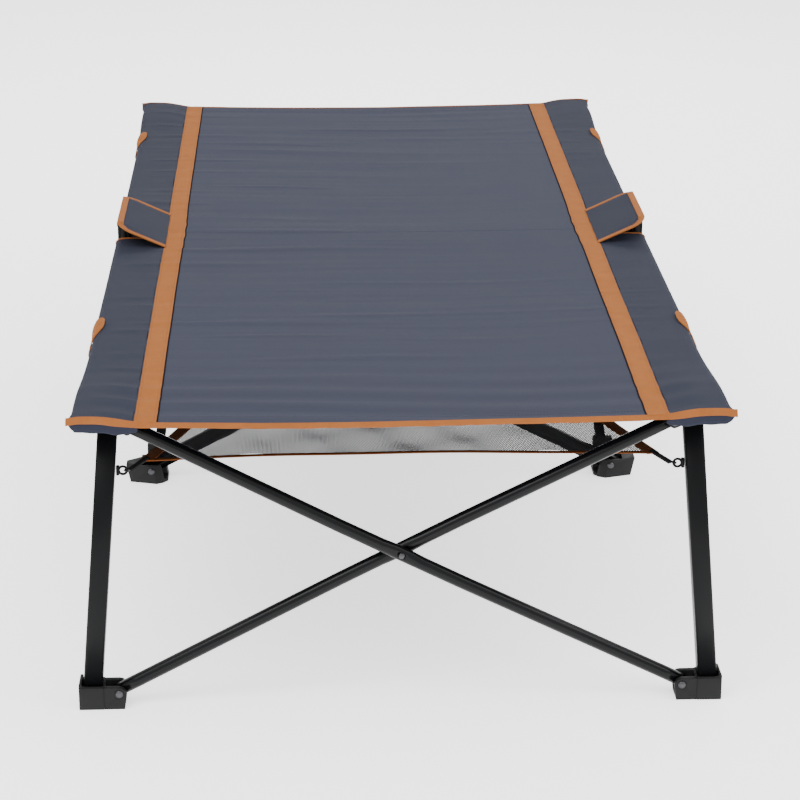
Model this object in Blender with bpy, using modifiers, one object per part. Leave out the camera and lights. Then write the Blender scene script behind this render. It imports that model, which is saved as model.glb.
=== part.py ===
"""Folding cot: three scissor frames under a fabric bed, side rails that hinge at mid-length.

Frame: metres, +Z up, +Y along the bed from its front end to its rear end, +X to the right.
The origin is on the floor, under the middle of the bed.
"""

import math

import bmesh
import bpy
from mathutils import Matrix, Vector

# Driving dimensions of the bed
BED_LENGTH = 2.000
BED_WIDTH = 0.944
COVER_BOTTOM = 0.4688
COVER_THICKNESS = 0.003
FRAME_Y = 0.930                 # plane of each end frame

# Scissor arms: pivot points, measured from the middle of the bed
FOOT_PIVOT_X = 0.4175
FOOT_PIVOT_Z = 0.0245
HUB_PIVOT_X = 0.393
HUB_PIVOT_Z = 0.4396
ARM_RADIUS = 0.010
ARM_WALL = 0.0012
FOOT_END = 0.012                # length of arm past its foot pivot
HUB_END = 0.008                 # and past its hub pivot
ARM_OFFSET = 0.0106             # sideways shift where two arms pass
ARM_STRAIGHT = 0.10             # half-length of the shifted stretch
MID_ARM_SIZE = (0.013, 0.026)
MID_ARM_OFFSET = 0.0075
PIN_RADIUS = 0.003
PIN_HOLE = 0.0033

# Legs
LEG_SIZE = 0.028
LEG_WALL = 0.0015
LEG_TOP_X = 0.4188
LEG_TOP_Z = 0.4585
LEG_BOTTOM_X = 0.4585
LEG_BOTTOM_Z = 0.0096
MID_LEG_SIZE = (0.018, 0.012)
MID_LEG_TOP = (0.3455, 0.030, 0.4380)
MID_LEG_BOTTOM = (0.4110, 0.030, 0.0122)

# Side rails and their hinge
RAIL_X = 0.4525
RAIL_Z = 0.4505
RAIL_RADIUS = 0.0125
RAIL_WALL = 0.0015
RAIL_MID_END = 0.040
RAIL_OUTER_END = 0.940
HINGE_Y = 0.015
HINGE_Z = 0.486
EYE_RADIUS = 0.0095
TONGUE_HALF = 0.004
FORK_GAP = 0.0005
FORK_THICKNESS = 0.005

# Moulded feet and hubs
GAP = 0.0003                    # between two pieces that touch
MOULDING_HALF = 0.019
SLOT_HALF = 0.0108
SOCKET_HALF = 0.0146
FOOT_INNER = 0.4065
FOOT_OUTER = 0.477
FOOT_TOP = 0.036
FOOT_FLOOR = 0.005              # plastic left under the arm
FOOT_WALL_X = 0.4400            # where the leg's socket starts
HUB_BOTTOM = 0.4362
HUB_TOP = 0.4680
HUB_OUTER = 0.4685
HUB_SLOT_END = 0.4072
HUB_SLOT_TOP = 0.4535
MID_SLOT_HALF = 0.0148
MID_FOOT_HEIGHT = 0.0330
MID_FOOT_LEAN = 0.22            # how far it leans outwards, as a share of its height
MID_FOOT_SLOT_END = 0.4405
MID_HUB_X = (0.3475, 0.4440)
MID_HUB_Z = (0.4200, 0.4592)
MID_HUB_HALF = 0.0205
MID_HUB_SLOT_END = 0.4095
MID_HUB_SLOT_TOP = 0.4557
FORK_RADIUS = 0.010
FORK_FLOOR = 0.466              # top of the web between the fork's two walls
PLUG_RADIUS = 0.0105
TONGUE_RISE = 0.0095            # half-height of the tongue's root

# Soft parts
FLAP_HALF = 0.108
FLAP_ROOT_X = 0.379
FLAP_RISE_X = 0.4235
FLAP_EDGE_X = 0.470
FLAP_ROOT_Z = 0.4724
FLAP_TOP_Z = 0.4980
FLAP_THICKNESS = 0.003
NET_Z = 0.3735
NET_THICKNESS = 0.003
NET_HALF = 0.377
NET_HOLLOW = 0.10
NET_FRONT = -0.902
NET_REAR = -0.100
RING_X = 0.4012
RING_Z = 0.3710
RING_RADIUS = 0.0060
RING_WIRE = 0.0020

ENDS = {"front": -1, "rear": 1}
SIDES = {"left": -1, "right": 1}


def clear_scene():
    for obj in list(bpy.data.objects):
        bpy.data.objects.remove(obj, do_unlink=True)


def new_collection(name):
    collection = bpy.data.collections.new(name)
    bpy.context.scene.collection.children.link(collection)
    return collection


def make_material(name, colour, roughness, metallic=0.0):
    material = bpy.data.materials.new(name)
    material.use_nodes = True
    shader = material.node_tree.nodes["Principled BSDF"]
    shader.inputs["Base Color"].default_value = (*colour, 1.0)
    shader.inputs["Roughness"].default_value = roughness
    shader.inputs["Metallic"].default_value = metallic
    return material


clear_scene()
PARTS = new_collection("folding_cot")
HELPERS = new_collection("cutters")
STEEL = make_material("black_powder_coat", (0.012, 0.013, 0.015), 0.35, 0.3)
PLASTIC = make_material("black_plastic", (0.020, 0.020, 0.021), 0.55)
RIVET = make_material("dark_rivet", (0.05, 0.05, 0.055), 0.3, 0.9)
FABRIC = make_material("slate_fabric", (0.075, 0.088, 0.115), 0.85)
NET = make_material("black_net", (0.02, 0.02, 0.02), 0.9)


# Basic shapes

def add_object(name, mesh, material=None, helper=False):
    obj = bpy.data.objects.new(name, mesh)
    (HELPERS if helper else PARTS).objects.link(obj)
    if helper:
        obj.hide_render = True
        obj.display_type = "WIRE"
    if material:
        mesh.materials.append(material)
    return obj


def mesh_from(bm, name):
    bmesh.ops.recalc_face_normals(bm, faces=bm.faces)
    mesh = bpy.data.meshes.new(name)
    bm.to_mesh(mesh)
    bm.free()
    return mesh


def box(name, low, high, material=None, helper=False, bevel=0.0):
    """A box between two corners, with its outer edges rounded by bevel."""
    low, high = Vector(low), Vector(high)
    bm = bmesh.new()
    size = Matrix.Diagonal((*(high - low), 1.0))
    bmesh.ops.create_cube(bm, size=1.0, matrix=Matrix.Translation((low + high) / 2) @ size)
    if bevel:
        bmesh.ops.bevel(bm, geom=bm.edges[:], offset=bevel, segments=2, affect="EDGES", profile=0.5)
    return add_object(name, mesh_from(bm, name), material, helper)


def cylinder(name, start, end, radius, sides=16, helper=False, material=None):
    start, end = Vector(start), Vector(end)
    axis = end - start
    bm = bmesh.new()
    turn = axis.to_track_quat("Z", "Y").to_matrix().to_4x4()
    place = Matrix.Translation((start + end) / 2) @ turn
    bmesh.ops.create_cone(bm, cap_ends=True, segments=sides, radius1=radius, radius2=radius,
                          depth=axis.length, matrix=place)
    return add_object(name, mesh_from(bm, name), material, helper)


def plate(name, outline, thickness, place, material=None, helper=False):
    """A flat outline in its own X and Y, thickness deep about its plane, moved by place."""
    curve = bpy.data.curves.new(name, "CURVE")
    curve.dimensions = "2D"
    curve.fill_mode = "BOTH"
    curve.extrude = thickness / 2
    spline = curve.splines.new("POLY")
    spline.points.add(len(outline) - 1)
    for point, (x, y) in zip(spline.points, outline):
        point.co = (x, y, 0.0, 1.0)
    spline.use_cyclic_u = True
    flat = bpy.data.objects.new(name + "_outline", curve)
    mesh = curve_to_mesh(flat, name)
    mesh.transform(place)
    return add_object(name, mesh, material, helper)


def curve_to_mesh(curve_object, name):
    """The mesh of a curve, with its caps welded on; the curve is removed."""
    PARTS.objects.link(curve_object)
    bpy.context.view_layer.update()
    evaluated = curve_object.evaluated_get(bpy.context.evaluated_depsgraph_get())
    mesh = bpy.data.meshes.new_from_object(evaluated)
    mesh.name = name
    bm = bmesh.new()
    bm.from_mesh(mesh)
    bmesh.ops.remove_doubles(bm, verts=bm.verts, dist=1e-6)
    bmesh.ops.recalc_face_normals(bm, faces=bm.faces)
    bm.to_mesh(mesh)
    bm.free()
    bpy.data.objects.remove(curve_object)
    return mesh


def path_tube(name, points, radius, wall, resolution=6):
    """The mesh of an open-ended tube along a path, before its wall is added."""
    curve = bpy.data.curves.new(name, "CURVE")
    curve.dimensions = "3D"
    curve.bevel_depth = radius
    curve.bevel_resolution = resolution
    curve.use_fill_caps = False
    spline = curve.splines.new("POLY")
    spline.points.add(len(points) - 1)
    for point, place in zip(spline.points, points):
        point.co = (*place, 1.0)
    obj = add_object(name, curve_to_mesh(bpy.data.objects.new(name + "_path", curve), name), STEEL)
    obj.data.shade_smooth()
    add_wall(obj, wall)
    return obj


def add_wall(obj, wall):
    solidify = obj.modifiers.new("wall", "SOLIDIFY")
    solidify.thickness = wall
    solidify.offset = -1.0
    solidify.use_rim = True


def square_tube(name, width, depth, length, wall, corner=0.003):
    """An open-ended box tube from the origin along +Z."""
    bm = bmesh.new()
    place = Matrix.Translation((0, 0, length / 2)) @ Matrix.Diagonal((width, depth, length, 1))
    bmesh.ops.create_cube(bm, size=1.0, matrix=place)
    upright = [e for e in bm.edges if abs(e.verts[0].co.z - e.verts[1].co.z) > length / 2]
    bmesh.ops.bevel(bm, geom=upright, offset=corner, segments=2, affect="EDGES", profile=0.5)
    caps = [f for f in bm.faces if abs(f.normal.z) > 0.9]
    bmesh.ops.delete(bm, geom=caps, context="FACES_ONLY")
    obj = add_object(name, mesh_from(bm, name), STEEL)
    add_wall(obj, wall)
    return obj


def turned(name, profile, material, sides=16):
    """A solid turned about Z from (radius, height) points that run from top to bottom."""
    mesh = bpy.data.meshes.new(name)
    mesh.from_pydata([(r, 0, z) for r, z in profile],
                     [(i, i + 1) for i in range(len(profile) - 1)], [])
    obj = add_object(name, mesh, material)
    screw = obj.modifiers.new("turn", "SCREW")
    screw.steps = screw.render_steps = sides
    screw.use_merge_vertices = True
    screw.merge_threshold = 0.00005
    screw.use_normal_calculate = False
    return obj


def combine(obj, operation, *others):
    for other in others:
        boolean = obj.modifiers.new(other.name, "BOOLEAN")
        boolean.operation = operation
        boolean.object = other
        boolean.solver = "EXACT"
    return obj


def cut(obj, *others):
    return combine(obj, "DIFFERENCE", *others)


def join(obj, *others):
    return combine(obj, "UNION", *others)


def arc(centre, radius, start, end, steps):
    """Points on an arc, with its angles in degrees."""
    return [(centre[0] + radius * math.cos(math.radians(start + (end - start) * i / steps)),
             centre[1] + radius * math.sin(math.radians(start + (end - start) * i / steps)))
            for i in range(steps + 1)]


def span(side, first, second):
    """Two distances from the middle, as low and high X on that side."""
    return sorted((side * first, side * second))


def side_box(name, side, x_range, y_range, z_range, **options):
    x_low, x_high = span(side, *x_range)
    return box(name, (x_low, y_range[0], z_range[0]), (x_high, y_range[1], z_range[1]), **options)


def across(side, y):
    """Places an outline of (x from the middle, z) so that its thickness runs along Y."""
    return Matrix.Translation((0, y, 0)) @ Matrix(((side, 0, 0, 0), (0, 0, -side, 0),
                                                    (0, 1, 0, 0), (0, 0, 0, 1)))


def along(x):
    """Places an outline of (y, z) so that its thickness runs along X."""
    return Matrix.Translation((x, 0, 0)) @ Matrix(((0, 0, 1, 0), (1, 0, 0, 0), (0, 1, 0, 0),
                                                    (0, 0, 0, 1)))


# Pins and rivets

def rivet(name, centre, half, axis, head=0.006, height=0.0026, blind=False):
    """A headed pin through a joint; half is the distance from its centre to each head.

    A blind pin has its only head on the -Y side.
    """
    dome = [(head, height * 0.35), (head * 0.72, height * 0.85), (0.0, height)]
    top = [(r, half + z) for r, z in reversed(dome)] + [(head, half)]
    bottom = [(0.0, -half)] if blind else [(r, -z) for r, z in reversed(top)]
    obj = turned(name, top + [(PIN_RADIUS, half), (PIN_RADIUS, -half)] + bottom, RIVET)
    obj.location = centre
    obj.rotation_euler = (math.pi / 2, 0, 0) if axis == "Y" else (0, math.pi / 2, 0)
    return obj


def pin_hole(name, x, z, y_low, y_high, radius=PIN_HOLE):
    return cylinder(name, (x, y_low, z), (x, y_high, z), radius, helper=True)


# Scissor arms

RISE = HUB_PIVOT_Z - FOOT_PIVOT_Z
RUN = HUB_PIVOT_X + FOOT_PIVOT_X
ARM_ANGLE = math.atan2(RISE, RUN)
ARM_LENGTH = math.hypot(RISE, RUN)
CROSS_AT = ARM_LENGTH * FOOT_PIVOT_X / RUN
CROSS_Z = FOOT_PIVOT_Z + RISE * FOOT_PIVOT_X / RUN


def place_arm(obj, falling, y, origin_at):
    """Puts an arm, drawn along +X from its foot pivot, into its frame with its origin on a pivot."""
    obj.data.transform(Matrix.Translation((-origin_at, 0, 0)))
    side = 1 if falling else -1
    reach = origin_at * math.cos(ARM_ANGLE)
    obj.location = (side * (FOOT_PIVOT_X - reach), y,
                    FOOT_PIVOT_Z + origin_at * math.sin(ARM_ANGLE))
    turn = Matrix.Rotation(math.pi if falling else 0.0, 4, "Z") @ Matrix.Rotation(-ARM_ANGLE, 4, "Y")
    obj.rotation_euler = turn.to_euler()


def arm_holes(name, depth, origin_at):
    """Cutters for the three pivots of an arm, in the arm's own frame."""
    holes = []
    for label, at in (("foot", 0.0), ("cross", CROSS_AT), ("hub", ARM_LENGTH)):
        hole = cylinder(f"{name}_{label}_hole", (at - origin_at, -depth, 0),
                        (at - origin_at, depth, 0), PIN_HOLE, sides=12, helper=True)
        holes.append(hole)
    return holes


def cut_arm(obj, depth, origin_at):
    for hole in arm_holes(obj.name, depth, origin_at):
        hole.location = obj.location
        hole.rotation_euler = obj.rotation_euler
        cut(obj, hole)


def dent(mesh):
    """Presses a round arm a little flatter where the rivet goes through."""
    for vertex in mesh.vertices:
        distance = abs(vertex.co.x - CROSS_AT)
        share = max(0.0, min(1.0, (0.034 - distance) / 0.020))
        share = share * share * (3 - 2 * share)
        from_axis = vertex.co.y - ARM_OFFSET
        pressed = 0.0091 + from_axis * 0.84
        vertex.co.y += share * (pressed - vertex.co.y)
        vertex.co.z *= 1 + 0.08 * share


def round_arm(name, falling, y, origin_at):
    stations = [-FOOT_END, 0.03, CROSS_AT - ARM_STRAIGHT]
    stations += [CROSS_AT + step for step in (-0.034, -0.024, -0.013, 0.013, 0.024, 0.034)]
    stations += [CROSS_AT + ARM_STRAIGHT, ARM_LENGTH - 0.03, ARM_LENGTH + HUB_END]
    points = []
    for at in stations:
        room = CROSS_AT if at < CROSS_AT else ARM_LENGTH - CROSS_AT
        away = (abs(at - CROSS_AT) - ARM_STRAIGHT) / (room - 0.03 - ARM_STRAIGHT)
        points.append((at, ARM_OFFSET * (1 - max(0.0, min(1.0, away))), 0.0))
    arm = path_tube(name, points, ARM_RADIUS, ARM_WALL)
    dent(arm.data)
    place_arm(arm, falling, y, origin_at)
    cut_arm(arm, 0.03, origin_at)
    return arm


def flat_arm(name, falling, origin_at):
    """A rectangular arm of the middle frame."""
    length = FOOT_END + ARM_LENGTH + HUB_END
    arm = square_tube(name, MID_ARM_SIZE[1], MID_ARM_SIZE[0], length, 0.0015, corner=0.002)
    arm.data.transform(Matrix.Translation((-FOOT_END, MID_ARM_OFFSET, 0))
                       @ Matrix.Rotation(math.pi / 2, 4, "Y"))
    place_arm(arm, falling, 0.0, origin_at)
    cut_arm(arm, 0.03, origin_at)
    return arm


# Legs and rails

def straight_between(obj, start, end):
    direction = Vector(end) - Vector(start)
    obj.location = start
    obj.rotation_euler = (0, math.atan2(direction.x, direction.z), 0)


def leg_length():
    return math.hypot(LEG_TOP_X - LEG_BOTTOM_X, LEG_TOP_Z - LEG_BOTTOM_Z)


def corner_leg(name, side, y):
    leg = square_tube(name, LEG_SIZE, LEG_SIZE, leg_length(), LEG_WALL)
    straight_between(leg, (side * LEG_BOTTOM_X, y, LEG_BOTTOM_Z), (side * LEG_TOP_X, y, LEG_TOP_Z))
    return leg


def leg_socket(name, side, y):
    """A cutter a little larger than the leg's upper end."""
    grow = LEG_SIZE / 2 + 2 * GAP
    cutter = box(name, (-grow, -grow, 0.2), (grow, grow, leg_length() + 2 * GAP), helper=True)
    straight_between(cutter, (side * LEG_BOTTOM_X, y, LEG_BOTTOM_Z),
                     (side * LEG_TOP_X, y, LEG_TOP_Z))
    return cutter


def mid_leg_ends(side):
    bottom = (side * MID_LEG_BOTTOM[0], MID_LEG_BOTTOM[1], MID_LEG_BOTTOM[2])
    top = (side * MID_LEG_TOP[0], MID_LEG_TOP[1], MID_LEG_TOP[2])
    return bottom, top


def mid_leg(name, side):
    leg = square_tube(name, *MID_LEG_SIZE, mid_leg_length(), 0.0012, 0.0015)
    straight_between(leg, *mid_leg_ends(side))
    return leg


def mid_leg_length():
    return math.dist(MID_LEG_TOP, MID_LEG_BOTTOM)


def mid_leg_socket(name, side, low, high):
    """A cutter a little larger than the brace leg, from low to high along its length."""
    width, depth = (size / 2 + 2 * GAP for size in MID_LEG_SIZE)
    cutter = box(name, (-width, -depth, low - 2 * GAP), (width, depth, high + 2 * GAP), helper=True)
    straight_between(cutter, *mid_leg_ends(side))
    return cutter


def rail(name, side, end):
    points = [(side * RAIL_X, end * y, RAIL_Z) for y in (RAIL_MID_END, RAIL_OUTER_END)]
    return path_tube(name, points, RAIL_RADIUS, RAIL_WALL)


# Moulded feet and hubs

def corner_foot(name, side, y):
    """Holds the leg in an open socket and the arm between two ears."""
    lip, ear_round = 0.0025, 0.012
    wall_half = MOULDING_HALF + 0.0016
    above = FOOT_TOP + 0.024
    outline = [(FOOT_OUTER, 0.0), (FOOT_OUTER, FOOT_TOP + lip)]
    outline += arc((FOOT_OUTER - lip, FOOT_TOP + lip), lip, 0, 180, 4)
    outline += [(FOOT_OUTER - 2 * lip, FOOT_TOP), (FOOT_WALL_X + lip, FOOT_TOP)]
    outline += [(FOOT_WALL_X + 0.0005, FOOT_TOP - 0.0015)]
    outline += arc((FOOT_INNER + ear_round, FOOT_PIVOT_Z - 0.002), ear_round, 90, 180, 4)
    outline += [(FOOT_INNER + 0.003, 0.0)]
    foot = plate(name, outline, 2 * MOULDING_HALF, across(side, y), PLASTIC)
    socket_wall = side_box(name + "_socket_wall", side, (FOOT_WALL_X, FOOT_OUTER - 0.0002),
                           (y - wall_half, y + wall_half), (0.0, FOOT_TOP - 0.0008),
                           helper=True, bevel=0.0012)
    slot = side_box(name + "_slot", side, (FOOT_INNER - 0.0165, FOOT_WALL_X - 0.0015),
                    (y - SLOT_HALF, y + SLOT_HALF), (FOOT_FLOOR, above), helper=True)
    socket = side_box(name + "_socket", side, (FOOT_WALL_X + 0.0015, FOOT_OUTER - 0.0042),
                      (y - SOCKET_HALF, y + SOCKET_HALF), (LEG_BOTTOM_Z - 0.0016, above), helper=True)
    hole = pin_hole(name + "_hole", side * FOOT_PIVOT_X, FOOT_PIVOT_Z, y - 0.03, y + 0.03)
    return cut(join(foot, socket_wall), slot, socket, hole)


def corner_hub(name, side, end):
    """Clamps the leg's top and the rail's end, and holds the arm between two ears."""
    y = end * FRAME_Y
    lower_round, upper_round, ear_round = 0.003, 0.004, 0.009
    outline = arc((HUB_OUTER - lower_round, HUB_BOTTOM + lower_round), lower_round, -90, 0, 3)
    outline += arc((HUB_OUTER - upper_round, HUB_TOP - upper_round), upper_round, 0, 90, 3)
    outline += [(HUB_PIVOT_X + 0.018, HUB_TOP), (HUB_PIVOT_X + 0.007, HUB_TOP - 0.008)]
    outline += [(HUB_PIVOT_X - 0.005, HUB_TOP - 0.010)]
    outline += arc((HUB_PIVOT_X, HUB_PIVOT_Z), ear_round, 180, 270, 5)
    outline += [(HUB_SLOT_END - 0.0012, HUB_BOTTOM)]
    hub = plate(name, outline, 2 * MOULDING_HALF, across(side, y), PLASTIC)
    slot = side_box(name + "_slot", side, (HUB_PIVOT_X - 0.033, HUB_SLOT_END),
                    (y - SLOT_HALF, y + SLOT_HALF), (HUB_BOTTOM - 0.016, HUB_SLOT_TOP), helper=True)
    hole = pin_hole(name + "_hole", side * HUB_PIVOT_X, HUB_PIVOT_Z, y - 0.03, y + 0.03)
    rail_bore = cylinder(name + "_rail_bore", (side * RAIL_X, end * (FRAME_Y - 0.03), RAIL_Z),
                         (side * RAIL_X, end * (RAIL_OUTER_END + GAP), RAIL_Z),
                         RAIL_RADIUS + GAP, sides=24, helper=True)
    return cut(hub, slot, leg_socket(name + "_leg_socket", side, y), hole, rail_bore)


def mid_foot(name, side):
    """Foot of the middle frame: two ears for the arm, and a collar behind them for the brace leg."""
    front = [(0.3960, -0.0190), (0.4085, -0.0260), (0.4560, -0.0115), (0.4560, 0.0115)]
    rear = [(0.4300, 0.0300), (0.4300, 0.0405), (0.3920, 0.0405), (0.3880, 0.0365), (0.3880, -0.0080)]
    lean = Matrix.Shear("XY", 4, (side * MID_FOOT_LEAN, 0))
    foot = plate(name, [(side * x, y) for x, y in front + rear], MID_FOOT_HEIGHT,
                 lean @ Matrix.Translation((0, 0, MID_FOOT_HEIGHT / 2)), PLASTIC)
    collar = side_box(name + "_collar", side, (0.3900, 0.4260), (0.0215, 0.0402), (0.010, 0.060),
                      helper=True, bevel=0.003)
    slot = side_box(name + "_slot", side, (0.37, MID_FOOT_SLOT_END),
                    (-MID_SLOT_HALF, MID_SLOT_HALF), (FOOT_FLOOR, 0.07), helper=True)
    socket = mid_leg_socket(name + "_socket", side, 0.0, 0.1)
    hole = pin_hole(name + "_hole", side * FOOT_PIVOT_X, FOOT_PIVOT_Z, -0.04, 0.0235)
    return cut(join(foot, collar), slot, socket, hole)


def mid_hub(name, side):
    """Holds both rail hinges in a fork, the arm between two ears, and the brace leg's top."""
    low, high = MID_HUB_Z
    hub = side_box(name, side, MID_HUB_X, (-MID_HUB_HALF, MID_HUB_HALF), MID_HUB_Z,
                   material=PLASTIC, bevel=0.003)
    leg_y = (MID_LEG_TOP[1] - 0.015, MID_LEG_TOP[1] + 0.011)
    leg_block = side_box(name + "_leg_block", side, (0.3320, 0.3700), leg_y, (low, low + 0.022),
                         helper=True, bevel=0.002)
    fork_bottom = low + 0.012
    fork = arc((HINGE_Y, HINGE_Z), FORK_RADIUS, 0, 90, 4)
    fork += arc((-HINGE_Y, HINGE_Z), FORK_RADIUS, 90, 180, 4)
    fork += [(-HINGE_Y - FORK_RADIUS, fork_bottom), (HINGE_Y + FORK_RADIUS, fork_bottom)]
    half = TONGUE_HALF + FORK_GAP
    thick = 2 * (half + FORK_THICKNESS)
    head = plate(name + "_fork", fork, thick, along(side * RAIL_X), helper=True)
    joint_block = side_box(name + "_joint_block", side, (0.4380, 0.4600), (-0.018, 0.018),
                           (low + 0.008, high - 0.0032), helper=True)
    between = (RAIL_X - half, RAIL_X + half)
    web = (-0.0085, 0.0085)
    front_gap = side_box(name + "_front_gap", side, between, (-0.05, web[0]), (0.425, 0.52),
                         helper=True)
    rear_gap = side_box(name + "_rear_gap", side, between, (web[1], 0.05), (0.425, 0.52),
                        helper=True)
    top_gap = side_box(name + "_top_gap", side, between, (-0.02, 0.02), (FORK_FLOOR, 0.53),
                       helper=True)
    slot = side_box(name + "_slot", side, (0.32, MID_HUB_SLOT_END),
                    (-MID_SLOT_HALF, MID_SLOT_HALF), (0.40, MID_HUB_SLOT_TOP), helper=True)
    hole = pin_hole(name + "_hole", side * HUB_PIVOT_X, HUB_PIVOT_Z, -0.03, 0.03)
    bores = [hinge_bore(f"{name}_{end}_bore", side, sign) for end, sign in ENDS.items()]
    join(hub, leg_block, head, joint_block)
    socket = mid_leg_socket(name + "_leg_socket", side, mid_leg_length() / 2, mid_leg_length())
    return cut(hub, front_gap, rear_gap, top_gap, slot, socket, hole, *bores)


def hinge_bore(name, side, end):
    """Cutter for the pin of one rail's hinge."""
    x = side * RAIL_X
    return cylinder(name, (x - 0.03, end * HINGE_Y, HINGE_Z), (x + 0.03, end * HINGE_Y, HINGE_Z),
                    PIN_HOLE, helper=True)


def knuckle(name, side, end):
    """Plug in the rail's inner end, with a tongue that rises to the hinge pin."""
    x = side * RAIL_X
    root = RAIL_MID_END - 0.002
    flange_start, flange_end = RAIL_MID_END - 0.0045, RAIL_MID_END - 0.0005
    top, bottom = RAIL_Z + TONGUE_RISE, RAIL_Z - TONGUE_RISE
    outline = [(root, top), (root - 0.005, top)] + arc((HINGE_Y, HINGE_Z), EYE_RADIUS, -20, 200, 8)
    outline += [(root - 0.0165, bottom), (root, bottom)]
    tongue = plate(name, [(end * y, z) for y, z in outline], 2 * TONGUE_HALF, along(x), PLASTIC)
    flange = cylinder(name + "_flange", (x, end * flange_start, RAIL_Z),
                      (x, end * flange_end, RAIL_Z), RAIL_RADIUS, helper=True)
    plug = cylinder(name + "_plug", (x, end * (root - 0.001), RAIL_Z), (x, end * 0.085, RAIL_Z),
                    PLUG_RADIUS, helper=True)
    return cut(join(tongue, flange, plug), hinge_bore(name + "_bore", side, end))


def net_ring(name, side, y):
    """Ring on a riveted plate on the leg's inner face, for the storage net's hook."""
    slope = (LEG_TOP_X - LEG_BOTTOM_X) / (LEG_TOP_Z - LEG_BOTTOM_Z)
    clearance = 0.0016
    face = LEG_BOTTOM_X + slope * (RING_Z - LEG_BOTTOM_Z) - LEG_SIZE / 2 - clearance
    half, rise = 0.004, 0.007
    base = side_box(name, side, (RING_X + RING_RADIUS - 0.001, face), (y - half, y + half),
                    (RING_Z - rise, RING_Z + rise), material=STEEL, bevel=0.001)
    bm = bmesh.new()
    steps, sides = 16, 8
    for i in range(steps):
        turn = Matrix.Rotation(2 * math.pi * i / steps, 4, "Y")
        for j in range(sides):
            angle = 2 * math.pi * j / sides
            out, along_y = RING_WIRE * math.cos(angle), RING_WIRE * math.sin(angle)
            bm.verts.new(turn @ Vector((RING_RADIUS + out, along_y, 0)))
    bm.verts.ensure_lookup_table()
    for i in range(steps):
        for j in range(sides):
            corners = [(i, j), (i, j + 1), (i + 1, j + 1), (i + 1, j)]
            bm.faces.new([bm.verts[(a % steps) * sides + b % sides] for a, b in corners])
    ring = add_object(name + "_loop", mesh_from(bm, name + "_loop"), helper=True)
    ring.location = (side * RING_X, y, RING_Z)
    return join(base, ring)


# Soft parts

def cover(name, end):
    """One half of the bed fabric, notched round the hinge at each side."""
    half, notch_x, notch_y = BED_WIDTH / 2, 0.4395, 0.0425
    half_outline = [(notch_x, GAP), (notch_x, notch_y), (half, notch_y)]
    half_outline += [(half, BED_LENGTH / 2 - 0.01), (half - 0.01, BED_LENGTH / 2)]
    outline = half_outline + [(-x, y) for x, y in reversed(half_outline)]
    place = Matrix.Translation((0, 0, COVER_BOTTOM + COVER_THICKNESS / 2))
    return plate(name, [(x, end * y) for x, y in outline], COVER_THICKNESS, place, FABRIC)


def storage_net(name):
    """Net shelf under the front half, its side edges cut hollow between the corners."""
    steps = 10
    edge = []
    for i in range(steps + 1):
        share = i / steps
        y = NET_FRONT + share * (NET_REAR - NET_FRONT)
        edge.append((NET_HALF - NET_HOLLOW * math.sin(math.pi * share), y))
    outline = edge + [(-x, y) for x, y in reversed(edge)]
    place = Matrix.Translation((0, 0, NET_Z + NET_THICKNESS / 2))
    return plate(name, outline, NET_THICKNESS, place, NET)


def hinge_flap(name, side):
    """Flap sewn along its inner edge, which lies over the rail hinge."""
    outline = [(FLAP_ROOT_X, FLAP_ROOT_Z), (FLAP_RISE_X, FLAP_TOP_Z), (FLAP_EDGE_X, FLAP_TOP_Z)]
    outline += [(x, z + FLAP_THICKNESS) for x, z in reversed(outline)]
    return plate(name, outline, 2 * FLAP_HALF, across(side, 0.0), FABRIC)


# Assembly

def end_frame(end_name):
    end = ENDS[end_name]
    y = end * FRAME_Y
    for side_name, side in SIDES.items():
        prefix = f"{end_name}_{side_name}"
        corner_leg(prefix + "_leg", side, y)
        corner_hub(prefix + "_hub", side, end)
        corner_foot(prefix + "_foot", side, y)
        rail(prefix + "_rail", side, end)
        knuckle(prefix + "_rail_knuckle", side, end)
        rivet(prefix + "_foot_pin", (side * FOOT_PIVOT_X, y, FOOT_PIVOT_Z), 0.0193, "Y")
        rivet(prefix + "_hub_pin", (side * HUB_PIVOT_X, y, HUB_PIVOT_Z), 0.0193, "Y", height=0.002)
        rivet(prefix + "_rail_pin", (side * RAIL_X, end * HINGE_Y, HINGE_Z), 0.0098, "X",
              head=0.005, height=0.0015)
    round_arm(end_name + "_arm_falling", True, y, ARM_LENGTH)
    round_arm(end_name + "_arm_rising", False, y, CROSS_AT)
    rivet(end_name + "_cross_rivet", (0, y, CROSS_Z), 0.0180, "Y", head=0.0045, height=0.0022)


def middle_frame():
    for side_name, side in SIDES.items():
        prefix = f"mid_{side_name}"
        mid_foot(prefix + "_foot", side)
        mid_hub(prefix + "_hub", side)
        mid_leg(prefix + "_brace_leg", side)
        rivet(prefix + "_hub_pin", (side * HUB_PIVOT_X, 0, HUB_PIVOT_Z), 0.0208, "Y", height=0.002)
        rivet(prefix + "_foot_pin", (side * FOOT_PIVOT_X, -0.0026, FOOT_PIVOT_Z), 0.0237, "Y",
              blind=True)
    flat_arm("mid_arm_rising", False, 0.0)
    flat_arm("mid_arm_falling", True, CROSS_AT)
    rivet("mid_cross_rivet", (0, 0, CROSS_Z), 0.0145, "Y", head=0.0045, height=0.0022)


for end_name in ENDS:
    end_frame(end_name)
middle_frame()
for side_name, side in SIDES.items():
    net_ring(f"front_{side_name}_net_ring", side, -FRAME_Y)
    hinge_flap(f"hinge_flap_{side_name}", side)
cover("cover_front", -1)
cover("cover_rear", 1)
storage_net("storage_net")
bpy.context.view_layer.update()
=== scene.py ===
import math

import bmesh
import bpy
from mathutils import Matrix, Vector, noise


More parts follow.
